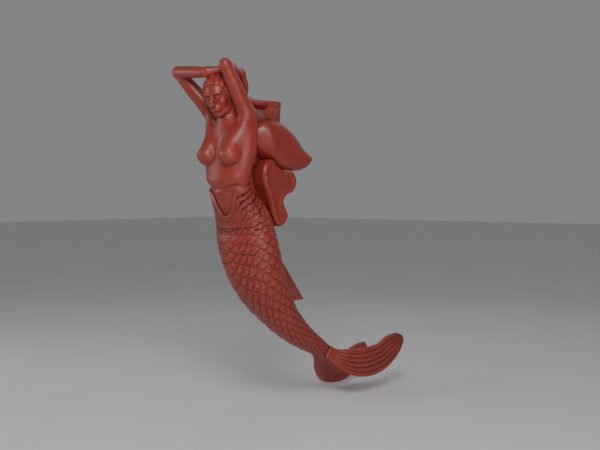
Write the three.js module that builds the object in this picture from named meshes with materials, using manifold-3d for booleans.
// A carved ship figurehead: a mermaid with her hands behind her head, her scaled tail swept back under
// the bow and ending in two flukes, fixed to a timber knee with two carved scrolls on each side.
// Millimetres, +Z up. The bow points along -Y and the figure's left is +X. The origin is the middle of
// the raked bed face of the knee, which lies against the ship's stem.

import * as THREE from "three";
import { mergeVertices } from "three/addons/utils/BufferGeometryUtils.js";
import Module from "manifold-3d";

const wasm = await Module();
wasm.setup();

// Driving sizes
const STATURE = 1700; // how tall the woman would stand: the figure is life size
const FIT_GAP = 0.3; // gap between carved pieces that touch
const STEM_SIDING = 190; // thickness of the ship's stem that the scrolls and flukes straddle
const STEM_PLAY = 6; // room between the stem and each piece beside it
const KNEE_SIDING = 100; // thickness of the timber knee across the ship
const KNEE_HEEL = 92; // fore-and-aft length of the square lower end of the knee
const POST_DEPTH = 86; // fore-and-aft depth of the post head
const HOUSING = 22; // how deep the knee is let into the figure's back
const SKIN = 7; // how far the scaled skin stands proud of the body
const LIP = 6; // further rise of the skin at its upper edge
const SCALE_RISE = 7; // step at the free end of each scale
const SCALES_AROUND = 16;
const SCALE_ROWS = 24;
const FLUKE_THICKNESS = 34;
const FLUKE_RAYS = 5;
const RAY_HEIGHT = 9;
const UPPER_SCROLL_WIDTH = 112; // outward reach of the upper scroll from the knee's side
const LOWER_SCROLL_WIDTH = 84; // outward reach of the lower scroll from the knee's side
const SCROLL_EDGE = 16; // rounding of the lower scroll's rim

// The figure's places and girths are written for a stature of 1700 and follow it
const FIGURE_SCALE = STATURE / 1700;
const on = (value) => value * FIGURE_SCALE;
const at = (x, y, z) => new THREE.Vector3(x, y, z).multiplyScalar(FIGURE_SCALE);

// Body and tail from the base of the neck to the root of the flukes: place of the section's centre
// (y, z), half width, depth to the front and depth to the back
const BODY_STATIONS = [
  [-142, 588, 60, 46, 50],
  [-132, 552, 120, 56, 60],
  [-127, 490, 148, 80, 72],
  [-129, 430, 152, 88, 76],
  [-136, 370, 146, 90, 74],
  [-141, 310, 131, 85, 71],
  [-136, 258, 115, 75, 70],
  [-118, 212, 118, 79, 76],
  [-86, 165, 132, 90, 88],
  [-50, 115, 148, 106, 92],
  [-25, 60, 158, 118, 88],
  [-9, 5, 162, 126, 88],
  [10, -55, 160, 128, 92],
  [34, -125, 153, 127, 102],
  [70, -205, 143, 118, 108],
  [124, -290, 124, 105, 98],
  [195, -372, 102, 87, 84],
  [280, -450, 82, 74, 70],
  [395, -535, 62, 58, 56],
  [520, -608, 46, 43, 43],
  [625, -668, 36, 34, 34],
];
const LAST_STATION = BODY_STATIONS.length - 1;
const WAIST_END = 10; // station where the bare body ends inside the scaled skin
const SKIN_FRONT = 8; // station of the low point of the skin's V edge
const SKIN_SIDE_RISE = 2.9; // stations that the V edge climbs towards the back

const paint = (color, roughness) => new THREE.MeshStandardMaterial({ color, roughness, metalness: 0 });
const figurePaint = paint(0x9c4038, 0.5);
const kneePaint = paint(0x8a3630, 0.6);
const scrollPaint = paint(0x963a33, 0.52);

// Closed mesh from rings of equal count, with a fan at each end
function loft(rings) {
  const count = rings[0].length;
  const points = rings.flat();
  const index = [];
  for (let i = 0; i < rings.length - 1; i += 1) {
    for (let j = 0; j < count; j += 1) {
      const a = i * count + j;
      const b = i * count + ((j + 1) % count);
      index.push(a, b, b + count, a, b + count, a + count);
    }
  }
  const capEnd = (row, reverse) => {
    const middle = rings[row].reduce((sum, p) => sum.add(p), new THREE.Vector3()).divideScalar(count);
    points.push(middle);
    for (let j = 0; j < count; j += 1) {
      const a = row * count + j;
      const b = row * count + ((j + 1) % count);
      index.push(...(reverse ? [points.length - 1, b, a] : [points.length - 1, a, b]));
    }
  };
  capEnd(0, true);
  capEnd(rings.length - 1, false);
  return solidFromTriangles(points, index);
}

// Manifold solid from points and triangles, turned so that its faces point out
function solidFromTriangles(points, index) {
  let volume = 0;
  for (let i = 0; i < index.length; i += 3) {
    const [a, b, c] = [points[index[i]], points[index[i + 1]], points[index[i + 2]]];
    volume += a.dot(new THREE.Vector3().crossVectors(b, c));
  }
  const order = volume < 0 ? [0, 2, 1] : [0, 1, 2];
  const triVerts = new Uint32Array(index.length);
  for (let i = 0; i < index.length; i += 3) {
    order.forEach((corner, k) => (triVerts[i + k] = index[i + corner]));
  }
  const vertProperties = new Float32Array(points.flatMap((p) => [p.x, p.y, p.z]));
  return new wasm.Manifold(new wasm.Mesh({ numProp: 3, vertProperties, triVerts }));
}

// Manifold solid from a closed three.js geometry
function solidFromGeometry(geometry) {
  const bare = geometry.clone();
  bare.deleteAttribute("normal");
  bare.deleteAttribute("uv");
  const merged = mergeVertices(bare, 1e-4);
  const place = merged.attributes.position;
  const points = Array.from({ length: place.count }, (_, i) => new THREE.Vector3().fromBufferAttribute(place, i));
  return solidFromTriangles(points, Array.from(merged.index.array));
}

function namedMesh(solid, name, material) {
  const mesh = solid.getMesh();
  const geometry = new THREE.BufferGeometry();
  geometry.setAttribute("position", new THREE.BufferAttribute(new Float32Array(mesh.vertProperties), 3));
  geometry.setIndex(new THREE.BufferAttribute(new Uint32Array(mesh.triVerts), 1));
  geometry.computeVertexNormals();
  const result = new THREE.Mesh(geometry, material);
  result.name = name;
  return result;
}

const joined = (solids) => solids.reduce((sum, solid) => sum.add(solid));

// The largest shell of a solid, without shut-in hollows and loose crumbs
const mainShell = (solid) => solid.decompose().sort((a, b) => b.volume() - a.volume())[0];

// Smooth curves through the stations, read at a station number that may be a fraction
const spine = new THREE.CatmullRomCurve3(BODY_STATIONS.map(([y, z]) => at(0, y, z)), false, "catmullrom", 0.5);
const girth = new THREE.CatmullRomCurve3(
  BODY_STATIONS.map(([, , w, f, b]) => at(w, f, b)), false, "catmullrom", 0.5);

// Point on the body at a station, at an angle from the front, offset outwards
function bodyPoint(station, angle, offset) {
  const u = THREE.MathUtils.clamp(station / LAST_STATION, 0, 1);
  const centre = spine.getPoint(u);
  const size = girth.getPoint(u);
  const tangent = spine.getTangent(u);
  const forward = new THREE.Vector3(0, tangent.z, -tangent.y);
  const depth = Math.cos(angle) > 0 ? size.y : size.z;
  return centre
    .addScaledVector(new THREE.Vector3(1, 0, 0), (size.x + offset) * Math.sin(angle))
    .addScaledVector(forward, (depth + offset) * Math.cos(angle));
}

function ringOf(count, place) {
  return Array.from({ length: count }, (_, j) => place((2 * Math.PI * j) / count, j));
}

// Bare torso, from the neck to well inside the skin
function torso() {
  const sides = 24;
  const rings = [];
  for (let station = 0; station <= WAIST_END; station += 1) {
    rings.push(ringOf(sides, (angle) => bodyPoint(station, angle, 0)));
  }
  return loft(rings);
}

// Station of a skin row: the rows level out from the V edge towards the tail
function skinStation(rowShare, angle) {
  const side = Math.abs(Math.sin(angle / 2)) ** 1.9;
  return SKIN_FRONT + (LAST_STATION - SKIN_FRONT) * rowShare - SKIN_SIDE_RISE * side * (1 - rowShare) ** 2;
}

// Share of the tail's length at each scale row: the scales get shorter towards the flukes
function rowShare(row) {
  const t = row / SCALE_ROWS;
  return THREE.MathUtils.clamp(t * (1.12 - 0.12 * t), 0, 1);
}

// Scaled skin: each row ends in a scalloped step, staggered against the next
function scaledSkin() {
  const sides = 2 * SCALES_AROUND;
  const scallop = 0.28;
  const stepLength = 0.1;
  const rings = [ringOf(sides, (angle) => bodyPoint(skinStation(0, angle), angle, on(SKIN + LIP)))];
  for (let row = 1; row < SCALE_ROWS; row += 1) {
    const fade = Math.min(1, 0.35 + row / 8) * (row > SCALE_ROWS - 4 ? 0.5 : 1);
    for (const [shift, rise] of [[0, SCALE_RISE * fade], [stepLength, 0]]) {
      rings.push(ringOf(sides, (angle, j) => {
        const reach = (j + row) % 2 === 0 ? scallop : -scallop;
        return bodyPoint(skinStation(rowShare(row + reach + shift), angle), angle, on(SKIN + rise));
      }));
    }
  }
  rings.push(ringOf(sides, (angle) => bodyPoint(LAST_STATION, angle, on(SKIN))));
  return loft(rings);
}

// Smooth body just outside the scales, for cutting the pieces that lie against it
function bodyCutter() {
  const sides = 24;
  const chordMargin = on(3);
  const rings = [];
  for (let station = 0; station <= LAST_STATION; station += 1) {
    const offset = on(station < SKIN_FRONT - SKIN_SIDE_RISE ? 0 : SKIN + Math.max(LIP, SCALE_RISE));
    rings.push(ringOf(sides, (angle) => bodyPoint(station, angle, offset + chordMargin + FIT_GAP)));
  }
  return loft(rings);
}

// Rounded limb through places with a half width and a half thickness at each
function limb(stations, sides, flatDirection = new THREE.Vector3(0, 0, 1)) {
  const path = new THREE.CatmullRomCurve3(stations.map(([p]) => p), false, "catmullrom", 0.5);
  const last = stations.length - 1;
  const frameAt = (k) => {
    const tangent = path.getTangent(k / last);
    const wide = new THREE.Vector3().crossVectors(tangent, flatDirection).normalize();
    return { tangent, wide, thick: new THREE.Vector3().crossVectors(wide, tangent) };
  };
  const ring = (k, swell, shift) => {
    const [place, half, thickness] = stations[k];
    const { tangent, wide, thick } = frameAt(k);
    return ringOf(sides, (angle) => place.clone()
      .addScaledVector(tangent, shift * (thickness ?? half))
      .addScaledVector(wide, swell * half * Math.cos(angle))
      .addScaledVector(thick, swell * (thickness ?? half) * Math.sin(angle)));
  };
  return loft([
    ring(0, 0.5, -0.8), ring(0, 0.86, -0.45),
    ...stations.map((_, k) => ring(k, 1, 0)),
    ring(last, 0.86, 0.45), ring(last, 0.5, 0.8),
  ]);
}

const RIGHT_ARM = {
  root: at(-104, -124, 488), shoulder: at(-116, -114, 606), elbow: at(-273, -226, 824), wrist: at(-52, -214, 811),
};
const LEFT_ARM = {
  root: at(104, -124, 488), shoulder: at(112, -114, 606), elbow: at(99, -266, 826), wrist: at(30, -92, 795),
};
const RIGHT_PALM = at(18, -150, 806);
const LEFT_PALM = at(8, -62, 742);

// Side of the chest, upper arm, elbow and forearm
function arm({ root, shoulder, elbow, wrist }, grow = 0) {
  const along = (from, to, share) => from.clone().lerp(to, share);
  const upper = limb([
    [root, on(42) + grow],
    [shoulder, on(42) + grow],
    [along(shoulder, elbow, 0.3), on(40) + grow],
    [along(shoulder, elbow, 0.65), on(36) + grow],
    [elbow, on(29) + grow],
  ], 9, new THREE.Vector3(0, 1, 0));
  const fore = limb([
    [elbow, on(29)],
    [along(elbow, wrist, 0.3), on(31)],
    [along(elbow, wrist, 0.7), on(27)],
    [wrist, on(22)],
  ], 9);
  return upper.add(fore);
}

// Palm with four fingers laid along it
function hand(wrist, palm, curl) {
  const reach = palm.clone().sub(wrist);
  const across = new THREE.Vector3().crossVectors(reach, new THREE.Vector3(0, 0.5, 1)).normalize();
  const parts = [limb([[wrist, on(22), on(17)], [palm, on(36), on(15)]], 10, new THREE.Vector3(0, 0.5, 1))];
  for (let finger = 0; finger < 4; finger += 1) {
    const offset = across.clone().multiplyScalar(on(17) * (finger - 1.5));
    const knuckle = palm.clone().add(offset);
    const tip = knuckle.clone().addScaledVector(reach.clone().normalize(), on(46)).add(curl);
    parts.push(limb([[knuckle, on(9)], [tip, on(8)]], 5));
  }
  return joined(parts);
}

// Head: horizontal sections in the head's own frame (height, centre, half width, front, back)
const HEAD_PLACE = at(0, -196, 704);
const HEAD_SHARE = 0.93;
const HEAD_PITCH = THREE.MathUtils.degToRad(20);
const HEAD_SECTIONS = [
  [-112, -46, 20, 26, 26],
  [-98, -34, 42, 50, 44],
  [-78, -22, 56, 66, 62],
  [-56, -12, 63, 76, 78],
  [-34, -6, 68, 82, 88],
  [-10, 0, 72, 84, 92],
  [16, 0, 74, 86, 95],
  [42, 0, 72, 84, 92],
  [68, 2, 61, 72, 80],
  [88, 6, 42, 50, 56],
  [98, 8, 20, 26, 28],
];
const FACE_RELIEF = new Map([[3, [5, -2, 0]], [4, [24, 2, 0]], [5, [14, -7, 0]], [6, [5, 2, 0]], [1, [5, 3, 0]]]);

function headPoint(x, forward, up) {
  const turned = new THREE.Vector3(x, -forward, up).applyAxisAngle(new THREE.Vector3(1, 0, 0), HEAD_PITCH);
  return turned.multiplyScalar(FIGURE_SCALE * HEAD_SHARE).add(HEAD_PLACE);
}

function head() {
  const sides = 20;
  return loft(HEAD_SECTIONS.map(([height, centre, width, front, back], row) => ringOf(sides, (angle, j) => {
    const fromFront = Math.min(j, sides - j);
    const relief = (FACE_RELIEF.get(row) ?? [])[fromFront] ?? 0;
    const depth = (Math.cos(angle) > 0 ? front : back) + relief;
    return headPoint(width * Math.sin(angle), depth * Math.cos(angle) - centre * 0.4, height);
  })));
}

// Hair combed back from the brow in waved locks
function hair() {
  const sides = 24;
  const rings = [[-62, 0.55], [-36, 0.86], [-6, 1], [26, 1.03], [56, 0.93], [82, 0.68], [97, 0.34]];
  return loft(rings.map(([height, swell]) => ringOf(sides, (angle, j) => {
    const groove = j % 2 === 0 ? 1 : 0.95;
    const width = 82 * swell * groove;
    const depth = 92 * swell * groove;
    return headPoint(width * Math.sin(angle), depth * Math.cos(angle) - 22, height + 8 * Math.cos(angle));
  })));
}

// Twisted lock of hair that runs back to the post
function hairLock() {
  const stations = [[-118, 668, 30], [-72, 676, 40], [-20, 676, 34], [40, 672, 30], [100, 672, 31], [118, 672, 31]];
  const sides = 12;
  return loft(stations.map(([y, z, half], row) => ringOf(sides, (angle) => {
    const strand = 1 + 0.08 * Math.cos(3 * angle + row);
    return at(1.25 * half * strand * Math.sin(angle), y, z + half * 0.8 * strand * Math.cos(angle));
  })));
}

function neck() {
  return limb([
    [at(0, -134, 520), on(62), on(52)],
    [at(0, -154, 570), on(53), on(51)],
    [at(0, -174, 615), on(50), on(49)],
    [at(0, -184, 660), on(50), on(50)],
  ], 14, new THREE.Vector3(0, 1, 0));
}

function breast(side) {
  const form = new THREE.SphereGeometry(1, 14, 8);
  form.rotateX(Math.PI / 2);
  form.scale(on(58), on(74), on(60));
  form.rotateX(THREE.MathUtils.degToRad(-14));
  form.translate(on(68) * side, on(-192), on(414));
  const nipple = new THREE.SphereGeometry(on(8), 6, 4);
  nipple.translate(on(84) * side, on(-260), on(398));
  return solidFromGeometry(form).add(solidFromGeometry(nipple));
}

// Ribbed fluke: a broad blade along a path (x, y, z, half breadth), x counted from the stem's side
const FLUKE_PATHS = {
  port: [
    [-75, 585, -648, 34],
    [-55, 622, -676, 40],
    [-20, 665, -700, 60],
    [8, 740, -722, 78],
    [16, 850, -732, 86],
    [18, 960, -724, 86],
    [18, 1055, -690, 84],
    [18, 1130, -662, 64],
    [16, 1185, -646, 30],
  ],
  starboard: [
    [-75, 585, -648, 34],
    [-55, 630, -690, 42],
    [-20, 690, -742, 62],
    [8, 770, -790, 78],
    [16, 870, -816, 84],
    [18, 970, -812, 84],
    [18, 1065, -780, 74],
    [18, 1140, -742, 54],
    [16, 1190, -714, 26],
  ],
};

function fluke(stations, side) {
  const stemSide = STEM_SIDING / 2 + STEM_PLAY + FLUKE_THICKNESS / 2;
  const places = stations.map(([x, y, z]) => {
    const place = at(x, y, z);
    return new THREE.Vector3(side * Math.max(stemSide + place.x, on(20)), place.y, place.z);
  });
  const path = new THREE.CatmullRomCurve3(places, false, "catmullrom", 0.5);
  const last = stations.length - 1;
  const raySteps = 2 * FLUKE_RAYS;
  const rings = [];
  for (let k = 0; k <= last; k += 1) {
    const centre = path.getPoint(k / last);
    const tangent = path.getTangent(k / last);
    const out = new THREE.Vector3(side, 0, 0);
    out.addScaledVector(tangent, -out.dot(tangent)).normalize();
    const across = new THREE.Vector3().crossVectors(tangent, out).normalize();
    if (across.z < 0) across.negate();
    const half = on(stations[k][3]);
    const grow = Math.min(1, k / 2);
    const ring = [];
    for (let step = 0; step <= raySteps; step += 1) {
      const share = 1 - (2 * step) / raySteps;
      const ray = step % 2 === 1 ? RAY_HEIGHT * grow : 0;
      const lift = (FLUKE_THICKNESS / 2) * Math.sqrt(1 - 0.8 * share * share) + ray - RAY_HEIGHT / 2;
      ring.push(centre.clone().addScaledVector(across, half * share).addScaledVector(out, lift));
    }
    for (const share of [-0.72, 0, 0.72]) {
      ring.push(centre.clone().addScaledVector(across, half * share).addScaledVector(out, -FLUKE_THICKNESS / 2));
    }
    rings.push(ring);
  }
  return loft(rings);
}

// Knee profile (y, z) from the post head round the bed to the heel and back up the figure's back
const KNUCKLE = [125, -37];
const HEEL_Z = -338;
const POST_TOP = 690;
const POST_BACK = 188;
const BED_LEAN = Math.atan2(245, 301); // rake of the lower bed from the vertical

function kneeProfile(grow) {
  const heelBack = on(KNUCKLE[0]) + (on(KNUCKLE[1]) - on(HEEL_Z)) * Math.tan(BED_LEAN);
  const postFront = on(POST_BACK) - POST_DEPTH;
  const corners = [
    [postFront, on(POST_TOP)],
    [on(POST_BACK), on(POST_TOP)],
    [on(KNUCKLE[0]), on(KNUCKLE[1])],
    [heelBack, on(HEEL_Z)],
    [heelBack - KNEE_HEEL, on(HEEL_Z)],
    [on(86) - HOUSING, on(6)],
    [on(4) - HOUSING, on(140)],
    [on(-68) - HOUSING, on(250)],
    [on(-66) - HOUSING, on(400)],
    [on(-64) - HOUSING, on(500)],
    [on(-38) - HOUSING, on(586)],
    [postFront, on(604)],
  ];
  return grown(corners, grow);
}

// Outline with each side moved outwards by a distance
function grown(corners, distance) {
  const points = corners.map(([y, z]) => new THREE.Vector2(y, z));
  const turn = THREE.ShapeUtils.isClockWise(points) ? 1 : -1;
  const count = points.length;
  const normalOf = (a, b) => new THREE.Vector2(-(b.y - a.y), b.x - a.x).normalize().multiplyScalar(turn);
  return points.map((p, i) => {
    const before = normalOf(points[(i + count - 1) % count], p);
    const after = normalOf(p, points[(i + 1) % count]);
    const mitre = before.clone().add(after).normalize();
    return p.clone().addScaledVector(mitre, distance / Math.max(0.3, mitre.dot(after)));
  });
}

// Plate with a (y, z) outline, between two places across the ship
function plate(outline, xFrom, xTo) {
  const points = [];
  for (const x of [xFrom, xTo]) {
    for (const p of outline) points.push(new THREE.Vector3(x, p.x, p.y));
  }
  const count = outline.length;
  const index = [];
  for (const [a, b, c] of THREE.ShapeUtils.triangulateShape(outline, [])) {
    index.push(a, b, c, count + a, count + c, count + b);
  }
  const clockwise = THREE.ShapeUtils.isClockWise(outline);
  for (let i = 0; i < count; i += 1) {
    const j = (i + 1) % count;
    index.push(...(clockwise ? [i, j, count + j, i, count + j, count + i]
      : [j, i, count + j, i, count + i, count + j]));
  }
  return solidFromTriangles(points, index);
}

const kneeSolid = (grow) => plate(kneeProfile(grow), -KNEE_SIDING / 2 - grow, KNEE_SIDING / 2 + grow);

// Space that the ship's stem takes behind the knee's bed
function stemSpace() {
  const lean = Math.tan(BED_LEAN);
  const top = on(POST_TOP);
  const outline = [
    [on(POST_BACK), top],
    [on(KNUCKLE[0]), on(KNUCKLE[1])],
    [on(KNUCKLE[0]) + on(400) * lean, on(KNUCKLE[1]) - on(400)],
    [on(1400), on(KNUCKLE[1]) - on(400)],
    [on(1400), top],
  ].map(([y, z]) => new THREE.Vector2(y, z));
  return plate(outline, -STEM_SIDING / 2 - STEM_PLAY, STEM_SIDING / 2 + STEM_PLAY);
}

// Smooth closed outline through places on the knee's side
function smoothOutline(corners, samples) {
  const curve = new THREE.CatmullRomCurve3(corners.map(([y, z]) => at(0, y, z)), true, "centripetal");
  return curve.getPoints(samples).slice(0, samples).map((p) => new THREE.Vector2(p.y, p.z));
}

// Upper scroll: a fat rounded lobe that swells outwards and draws out to a tip at the rail
const UPPER_SCROLL = [
  [-78, 500], [-52, 556], [20, 584], [108, 578], [190, 536], [262, 470], [350, 404],
  [300, 350], [210, 334], [112, 346], [32, 388], [-48, 438],
];
const UPPER_CENTRE = [120, 452];

// Lower scroll: a leaf with two lobes at the back and a rounded rim
const LOWER_SCROLL = [
  [-30, 330], [-6, 376], [52, 398], [120, 386], [196, 344], [234, 286], [206, 232],
  [150, 214], [122, 182], [140, 150], [158, 112], [130, 70], [86, 60], [52, 92],
  [30, 150], [4, 216], [-24, 272],
];
const LOWER_CENTRE = [84, 260];

function swollenLobe(side, grow = 0) {
  const outline = grown(smoothOutline(UPPER_SCROLL, 28).map((p) => [p.x, p.y]), grow);
  const middle = new THREE.Vector2(...UPPER_CENTRE).multiplyScalar(FIGURE_SCALE);
  const inner = KNEE_SIDING / 2 + FIT_GAP - grow;
  const shape = [[1, 0], [1, 0.3], [0.97, 0.52], [0.86, 0.74], [0.64, 0.91], [0.34, 1]];
  return loft(shape.map(([spread, rise]) => outline.map((p) => {
    const q = p.clone().sub(middle).multiplyScalar(spread).add(middle);
    return new THREE.Vector3(side * (inner + (UPPER_SCROLL_WIDTH + 2 * grow) * rise), q.x, q.y);
  })));
}

function leafLobe(side) {
  const outline = smoothOutline(LOWER_SCROLL, 36);
  const middle = new THREE.Vector2(...LOWER_CENTRE).multiplyScalar(FIGURE_SCALE);
  const inner = KNEE_SIDING / 2 + FIT_GAP;
  const outer = inner + LOWER_SCROLL_WIDTH;
  const reach = on(150);
  const inset = (distance) => 1 - distance / reach;
  const shape = [
    [1, inner], [1, outer - SCROLL_EDGE], [inset(SCROLL_EDGE * 0.3), outer - SCROLL_EDGE * 0.3],
    [inset(SCROLL_EDGE), outer], [inset(SCROLL_EDGE * 2), outer - SCROLL_EDGE * 0.45],
    [0.4, outer - SCROLL_EDGE * 0.2],
  ];
  return loft(shape.map(([spread, x]) => outline.map((p) => {
    const q = p.clone().sub(middle).multiplyScalar(spread).add(middle);
    return new THREE.Vector3(side * x, q.x, q.y);
  })));
}

const figure = mainShell(joined([
  torso(), scaledSkin(), arm(RIGHT_ARM), arm(LEFT_ARM),
  hand(RIGHT_ARM.wrist, RIGHT_PALM, at(0, 26, -18)), hand(LEFT_ARM.wrist, LEFT_PALM, at(0, 0, -24)),
  neck(), head(), hair(), hairLock(), breast(-1), breast(1),
  fluke(FLUKE_PATHS.port, 1), fluke(FLUKE_PATHS.starboard, -1),
]).subtract(kneeSolid(FIT_GAP)));

const figurehead = new THREE.Group();
figurehead.add(namedMesh(figure, "mermaid_figure", figurePaint));
figurehead.add(namedMesh(kneeSolid(0), "timber_knee", kneePaint));

const cutAway = joined([stemSpace(), bodyCutter(), arm(LEFT_ARM, 2 * FIT_GAP), arm(RIGHT_ARM, 2 * FIT_GAP)]);
for (const [name, side] of [["port", 1], ["starboard", -1]]) {
  const lower = mainShell(leafLobe(side).subtract(cutAway).subtract(swollenLobe(side, 2 * FIT_GAP)));
  const upper = mainShell(swollenLobe(side).subtract(cutAway));
  figurehead.add(namedMesh(upper, `upper_scroll_${name}`, scrollPaint));
  figurehead.add(namedMesh(lower, `lower_scroll_${name}`, scrollPaint));
}

// The middle of the raked bed comes to the origin
const heelDrop = on(KNUCKLE[1]) - on(HEEL_Z);
figurehead.position.set(
  0,
  -(on(KNUCKLE[0]) + (heelDrop / 2) * Math.tan(BED_LEAN)),
  -(on(KNUCKLE[1]) - heelDrop / 2),
);

export default figurehead;
